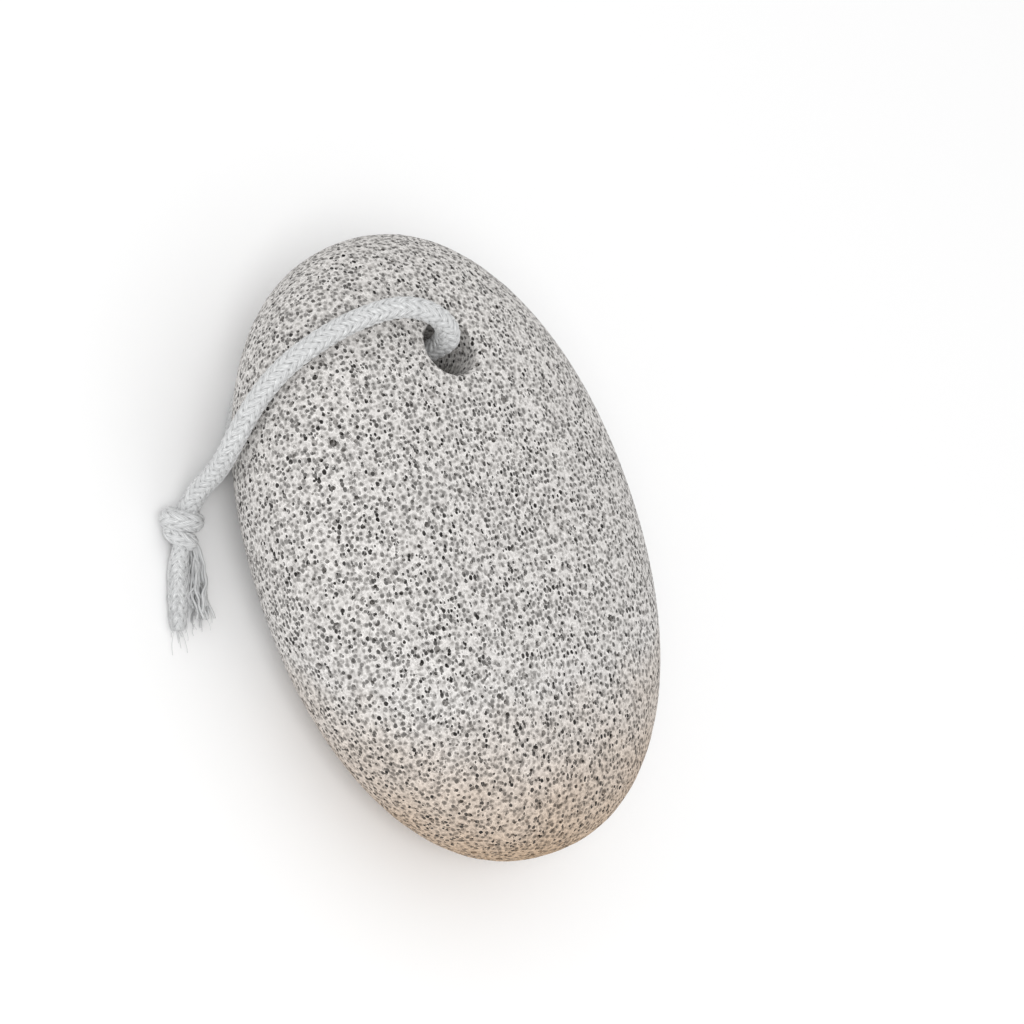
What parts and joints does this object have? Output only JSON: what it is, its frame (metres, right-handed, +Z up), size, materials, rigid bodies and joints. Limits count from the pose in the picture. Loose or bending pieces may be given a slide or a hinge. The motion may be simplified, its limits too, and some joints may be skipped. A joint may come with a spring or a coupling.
{
  "type": "pumice stone on a cord",
  "caption": "Oval pumice foot stone with a hole near one end and a knotted loop of braided cord, lying on its back.",
  "frame": {"origin": "middle of the stone's footprint, on the surface that it lies on", "axes": "+Z up out of the stone's face, +Y along the stone towards the end with the hole"},
  "size_m": [0.0762, 0.0998, 0.0404],
  "materials": {
    "pumice": "matte",
    "cord": "matte"
  },
  "bodies": {
    "root": {"stone": "pumice", "cord_loop": "cord", "knot": "cord", "tail_plain": "cord", "tail_frayed": "cord"}
  },
  "joints": []
}
